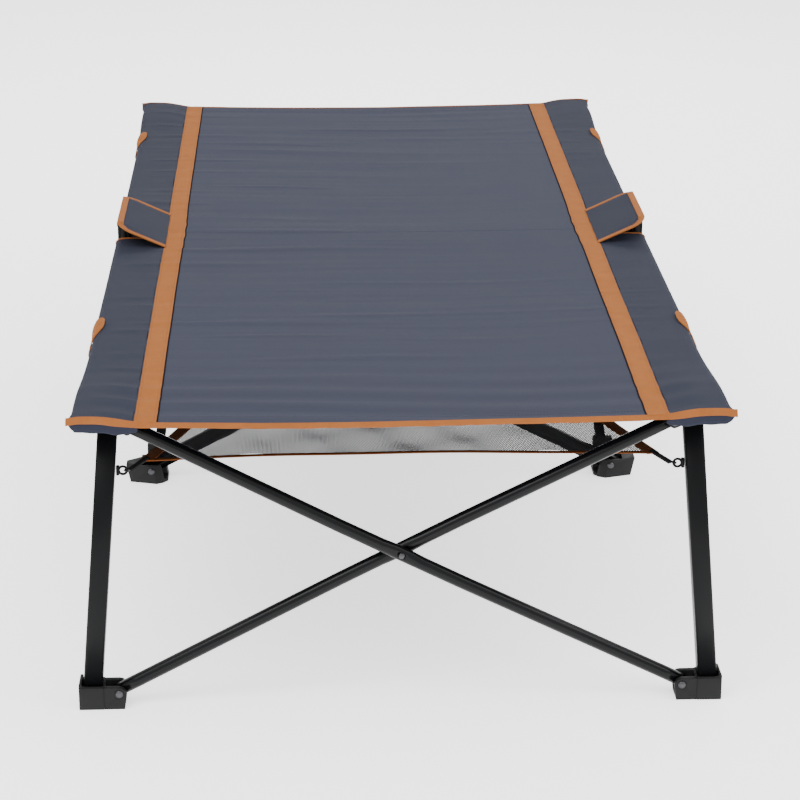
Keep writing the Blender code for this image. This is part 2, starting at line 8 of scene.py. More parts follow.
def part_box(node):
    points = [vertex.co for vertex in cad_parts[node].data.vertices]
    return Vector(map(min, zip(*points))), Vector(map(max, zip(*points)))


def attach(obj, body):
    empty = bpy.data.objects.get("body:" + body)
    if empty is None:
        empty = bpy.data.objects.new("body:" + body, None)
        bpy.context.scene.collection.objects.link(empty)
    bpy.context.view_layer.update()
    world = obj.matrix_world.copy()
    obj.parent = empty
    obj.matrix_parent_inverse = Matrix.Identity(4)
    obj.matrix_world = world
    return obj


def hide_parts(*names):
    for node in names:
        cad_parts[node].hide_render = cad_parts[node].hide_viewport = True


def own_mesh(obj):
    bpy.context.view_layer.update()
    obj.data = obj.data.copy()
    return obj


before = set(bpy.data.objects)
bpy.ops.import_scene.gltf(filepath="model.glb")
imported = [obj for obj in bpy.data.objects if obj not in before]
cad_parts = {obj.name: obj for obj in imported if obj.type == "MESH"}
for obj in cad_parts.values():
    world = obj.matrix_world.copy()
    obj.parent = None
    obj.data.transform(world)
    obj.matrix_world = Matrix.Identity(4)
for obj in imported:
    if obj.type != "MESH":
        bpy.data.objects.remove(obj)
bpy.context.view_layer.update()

# Places taken from the frame
BED_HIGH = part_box("cover_rear")[1]
HALF_LENGTH, HALF_WIDTH = BED_HIGH.y, BED_HIGH.x
RAIL_LOW, RAIL_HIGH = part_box("front_right_rail")
RAIL_X = (RAIL_LOW.x + RAIL_HIGH.x) / 2
RAIL_Z = (RAIL_LOW.z + RAIL_HIGH.z) / 2
RAIL_RADIUS = (RAIL_HIGH.z - RAIL_LOW.z) / 2
HUB_LOW, HUB_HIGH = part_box("rear_right_hub")
HUB_Y = abs(HUB_LOW.y + HUB_HIGH.y) / 2
NET_LOW, NET_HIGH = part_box("storage_net")
RING_LOW, RING_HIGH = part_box("front_right_net_ring")

# Fabric
CLOTH = 0.0010                  # thickness of the cover's cloth
BED_Z = 0.4645                  # top of the cover along the webbing
BED_SAG = 0.005                 # how far its middle line hangs below that
HUB_TOP = HUB_HIGH.z + 0.0046   # top of the cover over the corner hubs
PANEL_EDGE = 0.361              # where panel and sleeve meet, under the webbing
WEB_INNER, WEB_OUTER = 0.3475, 0.3790
WEB_WIDTH = WEB_OUTER - WEB_INNER
WEB_LIFT = 0.0011               # the webbing's face above the cover
SEAM_SHADOW_SHOWS = 0.0021             # how far the strip of painted shadow shows beside the webbing
SLEEVE_RADIUS = RAIL_RADIUS + 0.0022
BINDING = 0.0085                # width of the binding tape on the panel's ends
CORNER_BINDING = 0.0112         # its width over the corner hubs and round the flaps
HEM = 0.030                     # from the end edge to the hem's stitches
EDGE_Y = HALF_LENGTH - 0.0080   # the cover's end edge, before its binding hangs off it
MID_GAP = 0.0004                # half the gap between the two halves of the cover
NOTCH_Y = 0.0355                # the sleeves are cut back to here round the hinge
NOTCH_INNER, NOTCH_X = 0.410, 0.4395            # its binding starts at the first, its cut at the second

ENDS = {"front": -1, "rear": 1}
SIDES = {"left": -1, "right": 1}


# Materials

THREAD_PITCH = 0.0011           # of the cover's weave
RIB_PITCH = 0.0016              # of the webbing's ribs


def shader_of(material):
    return material.node_tree.nodes["Principled BSDF"]


def new_material(name, colour, roughness, **inputs):
    material = bpy.data.materials.new(name)
    material.use_nodes = True
    shader = shader_of(material)
    shader.inputs["Base Color"].default_value = (*colour, 1.0)
    shader.inputs["Roughness"].default_value = roughness
    for socket, value in inputs.items():
        shader.inputs[socket.replace("_", " ")].default_value = value
    return material


def add(material, kind, **settings):
    node = material.node_tree.nodes.new(kind)
    for name, value in settings.items():
        if name in node.inputs.keys():
            node.inputs[name].default_value = value
        else:
            setattr(node, name, value)
    return node


def link(material, source, target):
    material.node_tree.links.new(source, target)


def object_point(material, scale=(1, 1, 1)):
    """The point on the piece in metres, stretched along each axis by scale."""
    where = add(material, "ShaderNodeTexCoord")
    mapping = add(material, "ShaderNodeMapping")
    mapping.inputs["Scale"].default_value = scale
    link(material, where.outputs["Object"], mapping.inputs["Vector"])
    return mapping.outputs["Vector"]


def noise_at(material, point, scale, detail=2.0, rough=0.5):
    node = add(material, "ShaderNodeTexNoise", Scale=scale, Detail=detail, Roughness=rough)
    link(material, point, node.inputs["Vector"])
    return node.outputs["Fac"]


def wave_at(material, point, pitch, direction):
    """Even bands across direction, pitch metres apart."""
    node = add(material, "ShaderNodeTexWave", Scale=2 * math.pi / pitch / 20, Distortion=0.0,
               bands_direction=direction)
    link(material, point, node.inputs["Vector"])
    return node.outputs["Fac"]


def combine(material, operation, first, second):
    node = add(material, "ShaderNodeMath", operation=operation)
    for socket, value in zip(node.inputs, (first, second)):
        if isinstance(value, (int, float)):
            socket.default_value = value
        else:
            link(material, value, socket)
    return node.outputs["Value"]


def mixture(material, *parts):
    """The sum of each (value, weight) pair."""
    total = 0.0
    for value, weight in parts:
        total = combine(material, "ADD", combine(material, "MULTIPLY", value, weight), total)
    return total


def spread(material, value, low, high):
    """Maps 0..1 onto low..high."""
    node = add(material, "ShaderNodeMapRange")
    node.inputs["To Min"].default_value = low
    node.inputs["To Max"].default_value = high
    link(material, value, node.inputs["Value"])
    return node.outputs["Result"]


def vary_colour(material, value, dark, light):
    """Base colour from dark to light, as value goes from 0 to 1."""
    mix = add(material, "ShaderNodeMix", data_type="RGBA")
    first, second = [socket for socket in mix.inputs if socket.type == "RGBA"]
    first.default_value = (*dark, 1.0)
    second.default_value = (*light, 1.0)
    link(material, value, mix.inputs[0])
    result = next(socket for socket in mix.outputs if socket.type == "RGBA")
    link(material, result, shader_of(material).inputs["Base Color"])


def bump(material, height, distance, strength=1.0):
    node = add(material, "ShaderNodeBump", Strength=strength, Distance=distance)
    link(material, height, node.inputs["Height"])
    link(material, node.outputs["Normal"], shader_of(material).inputs["Normal"])


def woven_fabric(name, dark, light):
    """Slate polyester in a fine plain weave, with a faint mottling."""
    material = new_material(name, light, 0.80, Specular_IOR_Level=0.06)
    point = object_point(material)
    weave = combine(material, "MAXIMUM", wave_at(material, point, THREAD_PITCH, "X"),
                    wave_at(material, point, THREAD_PITCH, "Y"))
    mottle = noise_at(material, point, 9.0, detail=5.0)
    slub = noise_at(material, object_point(material, (3.0, 240.0, 40.0)), 1.0, detail=2.0)
    vary_colour(material, mixture(material, (mottle, 0.55), (slub, 0.30), (weave, 0.15)), dark, light)
    bump(material, mixture(material, (weave, 1.0), (slub, 0.6)), 0.00018)
    link(material, spread(material, mottle, 0.66, 0.84), shader_of(material).inputs["Roughness"])
    return material


def webbing(name, along, dark, light):
    """Ribbed polypropylene tape; its ribs run across the direction along."""
    material = new_material(name, light, 0.72, Specular_IOR_Level=0.05)
    point = object_point(material)
    ribs = wave_at(material, point, RIB_PITCH, along)
    wear = noise_at(material, point, 38.0, detail=6.0, rough=0.6)
    vary_colour(material, mixture(material, (wear, 0.75), (ribs, 0.25)), dark, light)
    bump(material, mixture(material, (ribs, 1.0), (wear, 0.8)), 0.00025)
    return material


def coated_steel(name, roughness, specular):
    """Black powder coat with a faint orange-peel surface."""
    material = new_material(name, (0.010, 0.011, 0.012), roughness, Specular_IOR_Level=specular)
    point = object_point(material)
    peel = noise_at(material, point, 900.0, detail=2.0)
    smudge = noise_at(material, point, 14.0, detail=4.0)
    link(material, spread(material, smudge, roughness - 0.06, roughness + 0.10),
         shader_of(material).inputs["Roughness"])
    vary_colour(material, smudge, (0.0015, 0.0017, 0.0020), (0.0035, 0.0038, 0.0042))
    bump(material, peel, 0.00005, 0.6)
    return material


def moulded_plastic():
    """Black nylon with a fine spark-eroded grain, paler where it has been rubbed."""
    material = new_material("moulded_plastic", (0.012, 0.012, 0.013), 0.58, Specular_IOR_Level=0.2)
    point = object_point(material)
    grain = noise_at(material, point, 1500.0, detail=3.0)
    smudge = noise_at(material, point, 30.0, detail=4.0)
    vary_colour(material, smudge, (0.003, 0.003, 0.0034), (0.0075, 0.0075, 0.0080))
    link(material, spread(material, smudge, 0.48, 0.70), shader_of(material).inputs["Roughness"])
    bump(material, grain, 0.00012, 0.8)
    return material


def dark_metal():
    """Blackened steel of pins, rivets and hooks, with fine scratches."""
    material = new_material("dark_metal", (0.05, 0.05, 0.055), 0.3, Metallic=0.9)
    point = object_point(material)
    scratch = noise_at(material, point, 300.0, detail=4.0)
    link(material, spread(material, scratch, 0.22, 0.45), shader_of(material).inputs["Roughness"])
    vary_colour(material, scratch, (0.035, 0.035, 0.038), (0.09, 0.09, 0.095))
    return material


def net_thread():
    """Slightly fuzzy black yarn."""
    material = new_material("net_thread", (0.012, 0.012, 0.013), 0.65, Specular_IOR_Level=0.2)
    point = object_point(material)
    fuzz = noise_at(material, point, 700.0, detail=2.0)
    vary_colour(material, fuzz, (0.008, 0.008, 0.009), (0.022, 0.022, 0.024))
    bump(material, fuzz, 0.0001)
    return material


WEAVE = woven_fabric("slate_weave", (0.0215, 0.0235, 0.0375), (0.0375, 0.0405, 0.0610))
SLEEVE_WEAVE = woven_fabric("slate_weave_sleeve", (0.0148, 0.0168, 0.0270), (0.0262, 0.0290, 0.0450))
TAN_ALONG_Y = webbing("tan_webbing_lengthwise", "Y", (0.200, 0.063, 0.0135), (0.310, 0.108, 0.026))
TAN_ALONG_X = webbing("tan_binding_crosswise", "X", (0.200, 0.064, 0.0165), (0.310, 0.110, 0.033))
RUST = webbing("net_binding", "Y", (0.105, 0.029, 0.0075), (0.205, 0.066, 0.0180))
BLACK_TAPE = webbing("black_webbing", "X", (0.008, 0.008, 0.009), (0.020, 0.020, 0.021))
THREAD_TAN = new_material("tan_thread", (0.26, 0.088, 0.020), 0.6, Specular_IOR_Level=0.1)
THREAD_GREY = new_material("grey_thread", (0.085, 0.090, 0.115), 0.6, Specular_IOR_Level=0.1)
# Near-black colour of the strip beside the webbing: painted shadow along the webbing's edges, not a real
# seam fold
SEAM_SHADOW_PAINT = new_material("painted_seam_shadow", (0.0085, 0.0075, 0.0105), 0.9, Specular_IOR_Level=0.02)
GLOSS_STEEL = coated_steel("gloss_black_tube", 0.22, 0.16)
SATIN_STEEL = coated_steel("satin_black_tube", 0.38, 0.10)
PLASTIC = moulded_plastic()
METAL = dark_metal()
NET = net_thread()


# Mesh helpers

def add_piece(name, mesh, material):
    obj = bpy.data.objects.new(name, mesh)
    bpy.context.scene.collection.objects.link(obj)
    mesh.materials.clear()
    mesh.materials.append(material)
    mesh.shade_smooth()
    return obj


def apply_modifiers(obj):
    bpy.context.view_layer.update()
    evaluated = obj.evaluated_get(bpy.context.evaluated_depsgraph_get())
    mesh = bpy.data.meshes.new_from_object(evaluated)
    obj.modifiers.clear()
    obj.data = mesh


def mesh_from(name, bm):
    mesh = bpy.data.meshes.new(name)
    bm.to_mesh(mesh)
    bm.free()
    return mesh


def skin(bm, rings):
    """Faces from each ring of vertices to the next, and a cap on both ends."""
    for first, second in zip(rings, rings[1:]):
        for j in range(len(first)):
            k = (j + 1) % len(first)
            bm.faces.new((first[j], first[k], second[k], second[j]))
    bm.faces.new(rings[0][::-1])
    bm.faces.new(rings[-1])


def tape_piece(name, sections, material, sharp_degrees):
    """A closed solid over sections, which are equally long lists of points along a line."""
    bm = bmesh.new()
    skin(bm, [[bm.verts.new(point) for point in section] for section in sections])
    bmesh.ops.recalc_face_normals(bm, faces=bm.faces)
    obj = add_piece(name, mesh_from(name, bm), material)
    obj.data.set_sharp_from_angle(angle=math.radians(sharp_degrees))
    return obj


def grid_mesh(name, rows, keep=None):
    """A mesh over a list of equally long rows of points; keep(i, j) says which cells stay."""
    count, across = len(rows), len(rows[0])
    bm = bmesh.new()
    verts = [[bm.verts.new(point) for point in row] for row in rows]
    for i in range(count - 1):
        for j in range(across - 1):
            if keep is None or keep(i, j):
                bm.faces.new((verts[i][j], verts[i][j + 1], verts[i + 1][j + 1], verts[i + 1][j]))
    loose = [vert for vert in bm.verts if not vert.link_faces]
    bmesh.ops.delete(bm, geom=loose, context="VERTS")
    return mesh_from(name, bm)


def cloth(name, rows, material, thickness=CLOTH, keep=None, offset=-1.0):
    """A sheet over a grid of points. offset says which side of the grid its thickness goes to."""
    obj = add_piece(name, grid_mesh(name, rows, keep), material)
    solidify = obj.modifiers.new("cloth", "SOLIDIFY")
    solidify.thickness = thickness
    solidify.offset = offset
    solidify.use_even_offset = False
    apply_modifiers(obj)
    obj.data.shade_smooth()
    obj.data.set_sharp_from_angle(angle=math.radians(50))
    return obj


def ribbon(name, centre, side, up, width, thickness, material):
    """A tape along the points of centre. side and up give its width and face directions there."""
    inner, low = 0.47, 0.15         # its worn corners, as shares of the width and the thickness
    outline = [(-0.5, -low), (-inner, -0.5), (inner, -0.5), (0.5, -low),
               (0.5, low), (inner, 0.5), (-inner, 0.5), (-0.5, low)]
    sections = [[Vector(point) + Vector(across) * a * width + Vector(normal) * b * thickness
                 for a, b in outline] for point, across, normal in zip(centre, side, up)]
    return tape_piece(name, sections, material, 40)


def wire(name, points, radius, material):
    """A round wire along points, as a closed mesh."""
    curve = bpy.data.curves.new(name, "CURVE")
    curve.dimensions = "3D"
    curve.bevel_depth = radius
    curve.bevel_resolution = 4
    curve.use_fill_caps = True
    spline = curve.splines.new("POLY")
    spline.points.add(len(points) - 1)
    for target, point in zip(spline.points, points):
        target.co = (*point, 1.0)
    source = bpy.data.objects.new(name + "_path", curve)
    bpy.context.scene.collection.objects.link(source)
    bpy.context.view_layer.update()
    evaluated = source.evaluated_get(bpy.context.evaluated_depsgraph_get())
    mesh = bpy.data.meshes.new_from_object(evaluated)
    bpy.data.objects.remove(source)
    bm = bmesh.new()
    bm.from_mesh(mesh)
    bmesh.ops.remove_doubles(bm, verts=bm.verts, dist=1e-6)
    bm.to_mesh(mesh)
    bm.free()
    mesh.name = name
    return add_piece(name, mesh, material)


STITCH_LENGTH, STITCH_GAP, STITCH_RADIUS = 0.0032, 0.0014, 0.00032
STITCH_PROFILE = ((0.0, 0.55), (0.5, 1.0), (1.0, 0.55))     # shares of its length and of its radius


def stitches(name, points, normals, material):
    """A row of thread stitches along a line, as one mesh of short rounded beads."""
    points = [Vector(point) for point in points]
    travelled = [0.0]
    for first, second in zip(points, points[1:]):
        travelled.append(travelled[-1] + (second - first).length)
    bm = bmesh.new()
    at, index = STITCH_GAP, 0
    while at + STITCH_LENGTH < travelled[-1]:
        while travelled[index + 1] < at:
            index += 1
        first, second = points[index], points[index + 1]
        step = (second - first).normalized()
        start = first + step * (at - travelled[index])
        normal = Vector(normals[index]).normalized()
        side = normal.cross(step)
        rings = []
        for share, size in STITCH_PROFILE:
            middle = start + step * STITCH_LENGTH * share
            reach = STITCH_RADIUS * size
            corners = (middle + side * reach, middle + normal * reach,
                       middle - side * reach, middle - normal * STITCH_RADIUS * 0.6)
            rings.append([bm.verts.new(corner) for corner in corners])
        skin(bm, rings)
        at += STITCH_LENGTH + STITCH_GAP
    bmesh.ops.recalc_face_normals(bm, faces=bm.faces)
    return add_piece(name, mesh_from(name, bm), material)


# Shape of the cover

FINE_CREASE, BROAD_CREASE, RIDGE = 0.00045, 0.0014, 0.0022
END_WAVE = {"front": 0.0015, "rear": 0.0005}    # height of the waves near the ends of the bed
END_WAVE_PITCH = 0.060
HUB_RISE_Y = 0.730              # the cover starts to rise towards a corner hub here
HUB_RISE_X = (0.362, 0.424)


def smooth_step(low, high, value):
    share = max(0.0, min(1.0, (value - low) / (high - low)))
    return share * share * (3 - 2 * share)


def bell(centre, half, value):
    """1 at the centre, falling smoothly to 0 at half away from it."""
    share = abs(value - centre) / half
    return 0.0 if share >= 1 else (1 - share * share) ** 2


def wrinkle(x, y):
    """Lateral creases from the crosswise tension, with broad soft waves near the ends of the bed."""
    drift = 0.02 * noise.noise(Vector((x * 2.5, y * 1.5, 3.1)))
    along = y + drift + 0.03 * x * math.sin(y * 3.1)
    fine = noise.noise(Vector((x * 2.2, along * 62.0, 0.7)))
    broad = noise.noise(Vector((x * 1.3 + 5.0, along * 21.0, 1.9)))
    single = noise.noise(Vector((x * 3.0 - 7.0, along * 34.0, 4.2)))
    ridge = max(0.0, single - 0.18) * 2.2
    patchy = max(0.15, 0.60 + 0.75 * noise.noise(Vector((x * 1.7, y * 1.9, 8.8))))
    near_end = smooth_step(0.62, 0.95, abs(y))
    uneven = 0.6 + 0.8 * noise.noise(Vector((x * 2.6, y * 2.0, 6.1)))
    wave = math.sin(2 * math.pi * (abs(along) - 0.012 * math.sin(5 * x)) / END_WAVE_PITCH)
    height = near_end * uneven * END_WAVE["front" if y < 0 else "rear"]
    return patchy * (FINE_CREASE * fine + BROAD_CREASE * broad + RIDGE * ridge) + height * wave


def hub_bump(s, y):
    """How far the cover rises over the corner hub at distance s from the middle line."""
    across = smooth_step(*HUB_RISE_X, s)
    return (HUB_TOP - BED_Z) * across * smooth_step(HUB_RISE_Y, HUB_Y - 0.024, abs(y))


def cover_z(x, y):
    """Height of the cover's top face between the two rails."""
    s = abs(x)
    sag = BED_SAG * (1 - (min(s, PANEL_EDGE) / PANEL_EDGE) ** 2) * (1 - 0.6 * bell(0.0, 0.14, y))
    over_rail = 0.0012 * smooth_step(0.405, 0.446, s)
    on_sleeve = smooth_step(0.375, 0.395, s)
    crease = wrinkle(x, y) * (1 + 0.2 * on_sleeve - 0.9 * smooth_step(0.405, 0.45, s))
    return BED_Z - sag + hub_bump(s, y) + over_rail + crease


def end_edge(x, end):
    """Distance of the cover's end edge from mid-length, a little wavy and less towards the middle."""
    wave = 0.0010 * noise.noise(Vector((x * 9.0, end * 3.0, 0.3)))
    return EDGE_Y + wave - 0.003 * (1 - (x / HALF_WIDTH) ** 2)


# Cover: a panel, sleeves, webbing, bindings and hems for each half of the bed

def end_rows(end, steps, start):
    """Y values from the mid line (or a cut-back edge) out to the end of one half."""
    return [end * (start + (HALF_LENGTH - start) * i / (steps - 1)) for i in range(steps)]


def panel(end_name):
    """Middle of one half of the cover, between the webbing strips."""
    end = ENDS[end_name]
    xs = [PANEL_EDGE * (2 * j / 88 - 1) for j in range(89)]
    rows = [[(x, end * min(abs(y), end_edge(x, end)), cover_z(x, y)) for x in xs]
            for y in end_rows(end, 211, MID_GAP)]
    return cloth(f"{end_name}_panel", rows, WEAVE, offset=-end)


TOP_STEPS, WRAP_STEPS, UNDER_STEPS = 16, 15, 12
BOX_START = 0.640               # from here to the corner hub the sleeve grows boxy
BOX_REACH = 0.0180              # how far out from the rail it is there
CORNER_FLARE = 0.0045           # and how much further at the very end
NOTCH_STEPS = 8


def sleeve_section(side, y):
    """(distance from the middle, height) round one sleeve: across its top, round the rail, and back."""
    points = []
    for i in range(TOP_STEPS):
        s = PANEL_EDGE + (RAIL_X - PANEL_EDGE) * i / TOP_STEPS
        points.append((s, cover_z(side * s, y) + 0.0010 * math.sin(math.pi * i / TOP_STEPS)))
    boxy = smooth_step(BOX_START, HUB_Y - 0.023, abs(y))
    flare = CORNER_FLARE * smooth_step(0.955, 0.992, abs(y))
    top = cover_z(side * RAIL_X, y) - RAIL_Z
    for i in range(WRAP_STEPS):
        turn = math.radians(90 - 180 * i / (WRAP_STEPS - 1))
        cosine, sine = max(0.0, math.cos(turn)), math.sin(turn)
        height = top if sine > 0 else SLEEVE_RADIUS
        square = (cosine ** 4 + sine ** 4) ** -0.25
        stretch = 1 + (square - 1) * boxy
        reach = SLEEVE_RADIUS + (BOX_REACH - SLEEVE_RADIUS) * boxy + flare
        points.append((RAIL_X + reach * cosine * stretch, RAIL_Z + height * sine * stretch))
    low = RAIL_Z - SLEEVE_RADIUS
    for i in range(1, UNDER_STEPS + 1):
        share = i / UNDER_STEPS
        s = RAIL_X + (PANEL_EDGE + 0.004 - RAIL_X) * share
        droop = 0.004 * math.sin(math.pi * share)
        points.append((s, low + (BED_Z - 0.0045 - low) * share ** 1.2 - droop))
    return points


def waist(y):
    """How far the sleeve's outer edge is drawn in, most at mid-length."""
    return 0.0030 * bell(0.0, 0.8, y)


def sleeve_row(side, y):
    """Points round the sleeve at y, up to its end edge."""
    row = []
    for s, z in sleeve_section(side, y):
        pull = waist(y) * smooth_step(RAIL_X + 0.012, RAIL_X + SLEEVE_RADIUS, s)
        pucker = 0.0004 * noise.noise(Vector((s * 30.0, y * 26.0, side * 2.0)))
        edge = end_edge(s, 1 if y > 0 else -1)
        row.append((side * (s - pull), math.copysign(min(abs(y), edge), y), z + pucker))
    return row


def sleeve(end_name, side_name):
    """One sleeve, cut back round the hinge. Its seam lies under the webbing."""
    end, side = ENDS[end_name], SIDES[side_name]
    ys = [end * (MID_GAP + (NOTCH_Y - MID_GAP) * i / NOTCH_STEPS) for i in range(NOTCH_STEPS)]
    ys += end_rows(end, 190, NOTCH_Y)
    rows = [sleeve_row(side, y) for y in ys]
    inner = sum(1 for s, _ in sleeve_section(side, 0.0)[:TOP_STEPS] if s < NOTCH_X)

    def keep(i, j):
        """The hinge's notch, and the leg's opening under the corner hub, are left out."""
        if i < NOTCH_STEPS:
            return j < inner - 1
        if abs(ys[i]) > HUB_HIGH.y + 0.004:
            return j < TOP_STEPS + 5
        return abs(ys[i]) < HUB_LOW.y - 0.006 or j < TOP_STEPS + 7
    return cloth(f"{end_name}_{side_name}_sleeve", rows, SLEEVE_WEAVE, keep=keep, offset=-side * end)


def web_wander(y, side):
    """The webbing isn't quite straight: it bows in by the hinge flap and is puckered beside it."""
    wander = 0.0011 * noise.noise(Vector((1.0, y * 4.0, side * 5.0)))
    pucker = 0.0007 * bell(0.01, 0.16, y) * math.sin(y * 95.0)
    return wander + pucker - 0.0022 * bell(0.02, 0.17, y)


def seam_sheet(name, end_name, side_name, across, stop, material, thickness):
    """A strip along the seam between panel and sleeve, up to stop.

    across lists distances from the bed's middle line, each with the height over the cover there."""
    end, side = ENDS[end_name], SIDES[side_name]
    rows = []
    for y in end_rows(end, 170, MID_GAP):
        shift = web_wander(y, side)
        rows.append([(side * (s + shift), end * min(abs(y), stop), cover_z(side * (s + shift), y) + lift)
                     for s, lift in across])
    return cloth(f"{end_name}_{side_name}_{name}", rows, material, thickness=thickness, offset=-side * end)


def web_strip(end_name, side_name):
    """Webbing sewn over the seam, with raised selvedges."""
    half = [(0.0, -0.0004), (0.02, 0.0001), (0.08, 0.0003), (0.13, 0.0), (0.25, 0.0001), (0.38, 0.0002)]
    whole = half + [(0.5, 0.0002)] + [(1.0 - share, lift) for share, lift in reversed(half)]
    across = [(WEB_INNER + WEB_WIDTH * share, WEB_LIFT + lift) for share, lift in whole]
    return seam_sheet("webbing", end_name, side_name, across, EDGE_Y - 0.001, TAN_ALONG_Y, 0.0009)


def edge_tape(name, line, up, outward, width, material, thickness=0.0026):
    """Binding tape folded over a fabric edge: line is its outer fold, outward points off the fabric.

    width is one number, or one for each point of line."""
    widths = width if isinstance(width, list) else [width] * len(line)
    half = thickness / 2
    turns = [math.radians(90 - 22.5 * i) for i in range(9)]
    fold = [(math.cos(turn) * half, math.sin(turn) * half) for turn in turns]
    sections = []
    for point, normal, away, wide in zip(line, up, outward, widths):
        point, normal, away = Vector(point), Vector(normal), Vector(away)
        inner = half - wide
        outline = [(inner, half * 0.72), (inner * 0.8, half)] + fold
        outline += [(inner * 0.8, -half), (inner, -half * 0.7)]
        sections.append([point + away * a + normal * b for a, b in outline])
    return tape_piece(name, sections, material, 50)


# How steeply the end binding hangs off the cover, in degrees
PANEL_HANG = {"front": 50, "rear": 8}
SLEEVE_HANG = {"front": 60, "rear": 55}


def sleeve_binding_share(s):
    """0 where the panel's binding carries on into the sleeve's, 1 over the corner hub."""
    return smooth_step(PANEL_EDGE, 0.408, s)


def end_binding_width(s):
    return BINDING + (CORNER_BINDING - BINDING) * sleeve_binding_share(s)


def end_binding(end_name, name, start, stop, count):
    """Tape along the cover's end edge, from x = start to x = stop."""
    end = ENDS[end_name]
    line, tilts, aways, widths = [], [], [], []
    for i in range(count):
        x = start + (stop - start) * i / (count - 1)
        s = abs(x)
        share = sleeve_binding_share(s)
        ripple = noise.noise(Vector((x * 34.0, end * 2.0, 0.7)))
        hang = PANEL_HANG[end_name] * (1 - share) + SLEEVE_HANG[end_name] * share
        hang = math.radians(hang + 9 * ripple * share)
        width = end_binding_width(s) * (1 + 0.07 * ripple)
        away = Vector((0, end * math.cos(hang), -math.sin(hang)))
        y = end * (end_edge(s, end) + 0.0006 * ripple)
        z = cover_z(math.copysign(min(s, RAIL_X), x), end * EDGE_Y) - 0.0018 * smooth_step(0.455, 0.473, s)
        line.append(Vector((x, y, z)) + away * (width - 0.0030))
        tilts.append(Vector((0, end * math.sin(hang), math.cos(hang))))
        aways.append(away)
        widths.append(width)
    return edge_tape(name, line, tilts, aways, widths, TAN_ALONG_X)


def end_binding_sleeve(end_name, side_name):
    """The binding's run over a corner, out to an ear that sticks out past the sleeve."""
    side = SIDES[side_name]
    return end_binding(end_name, f"{end_name}_{side_name}_binding", side * (PANEL_EDGE - 0.0015),
                       side * (HALF_WIDTH + 0.0025), 60)


LIP_INNER, LIP_OUTER = 0.374, 0.4700            # distances from the middle line
LIP_DEPTH = 0.0115
LIP_TURN = 0.35                 # share of its length from which it turns in


def under_lip(end_name, side_name):
    """Hem of the sleeve's lower layer: it shows below the binding and turns in beneath the hub."""
    end, side = ENDS[end_name], SIDES[side_name]
    rows = []
    for i in range(31):
        s = LIP_INNER + (LIP_OUTER - LIP_INNER) * i / 30
        belly = min(1.0, 3.2 * i / 30, 9.0 * (1 - i / 30)) ** 0.6
        top = cover_z(side * min(s, RAIL_X), end * EDGE_Y) - 0.0065
        low = top - 0.004 - LIP_DEPTH * belly - 0.0006 * math.sin(s * 190)
        row = []
        for j in range(11):
            share = j / 10
            inset = 0.0050 + 0.0215 * (max(0.0, share - LIP_TURN) / (1 - LIP_TURN)) ** 1.5
            row.append((side * s, end * (HALF_LENGTH - inset),
                        top + (low - top) * math.sin(math.pi / 2 * min(1.0, share / 0.55))))
        rows.append(row)
    return cloth(f"{end_name}_{side_name}_under_lip", rows, SLEEVE_WEAVE, offset=0.0)


def painted_seam_shadow(end_name, side_name):
    """A thin near-black strip under the webbing that shows along both its edges: painted shadow where the
    webbing meets the cover.
    """
    across = [(WEB_INNER + WEB_WIDTH * i / 8, 0.0) for i in range(9)]
    across = [(WEB_INNER - SEAM_SHADOW_SHOWS, 0.0008)] + across + [(WEB_OUTER + SEAM_SHADOW_SHOWS, 0.0008)]
    return seam_sheet("painted_seam_shadow", end_name, side_name, across, EDGE_Y - 0.002, SEAM_SHADOW_PAINT, 0.0006)


def notch_binding(end_name, side_name):
    """Binding along the sleeve's cut-back edge beside the hinge, down round the rail."""
    end, side = ENDS[end_name], SIDES[side_name]
    y = end * NOTCH_Y
    row = [Vector(point) for point in sleeve_row(side, y)]
    start = sum(1 for s, _ in sleeve_section(side, y)[:TOP_STEPS] if s < NOTCH_INNER)
    line = row[start:-4]
    ups, aways = [], []
    for i, point in enumerate(line):
        before, after = line[max(0, i - 1)], line[min(len(line) - 1, i + 1)]
        along = (after - before).normalized()
        away = Vector((0, -end, 0))
        normal = along.cross(away)
        if normal.dot(Vector((side * 0.3, 0, 1))) < 0 and i < 12:
            normal = -normal
        if ups and normal.dot(ups[-1]) < 0:
            normal = -normal
        ups.append(normal.normalized())
        aways.append(away)
    return edge_tape(f"{end_name}_{side_name}_notch_binding", line, ups, aways, 0.0065, TAN_ALONG_X,
                     thickness=0.0024)


LINING_DEPTH = 0.100
LINING_DROP = CLOTH + 0.0016    # how far it lies below the cover's top face


def mid_lining(name, low, high, lift, material):
    """Short strip under the fold line, which joins the two halves when they swing up."""
    xs = [low + (high - low) * j / 40 for j in range(41)]
    ys = [LINING_DEPTH * (i / 20 - 0.5) for i in range(21)]
    rows = [[(x, y, cover_z(x, y) - wrinkle(x, y) - LINING_DROP + lift) for x in xs] for y in ys]
    return cloth(name, rows, material, thickness=0.0007)


# Flap over the hinge

FLAP_NEAR, FLAP_FAR = -0.096, 0.118
FLAP_MIDDLE = (FLAP_NEAR + FLAP_FAR) / 2
FLAP_ROOT = WEB_OUTER - 0.003
FLAP_OUTER = 0.4575
FLAP_CENTRE_S, FLAP_CENTRE_Y = 0.42, 0.004
FLAP_SLOPE = 0.51               # rise of the flap for each metre outwards
FLAP_CORNER = 0.026             # radius of its two free corners
FLAP_SEAM = 0.0085              # from its edge to the stitches


def flap_height(s, y):
    """The flap rises straight from its root over the hinge, and droops at its near and far edges."""
    run = max(0.0, min(s, FLAP_OUTER) - FLAP_ROOT)
    share = run / (FLAP_OUTER - FLAP_ROOT)
    level = 0.0016 * smooth_step(0.86, 1.0, share)
    droop = 0.0050 * smooth_step(0.078, 0.107, abs(y - FLAP_MIDDLE)) * share
    ripple = 0.0009 * noise.noise(Vector((s * 22.0, y * 26.0, 2.2))) * share
    return BED_Z + 0.0024 + FLAP_SLOPE * run - level - droop + ripple


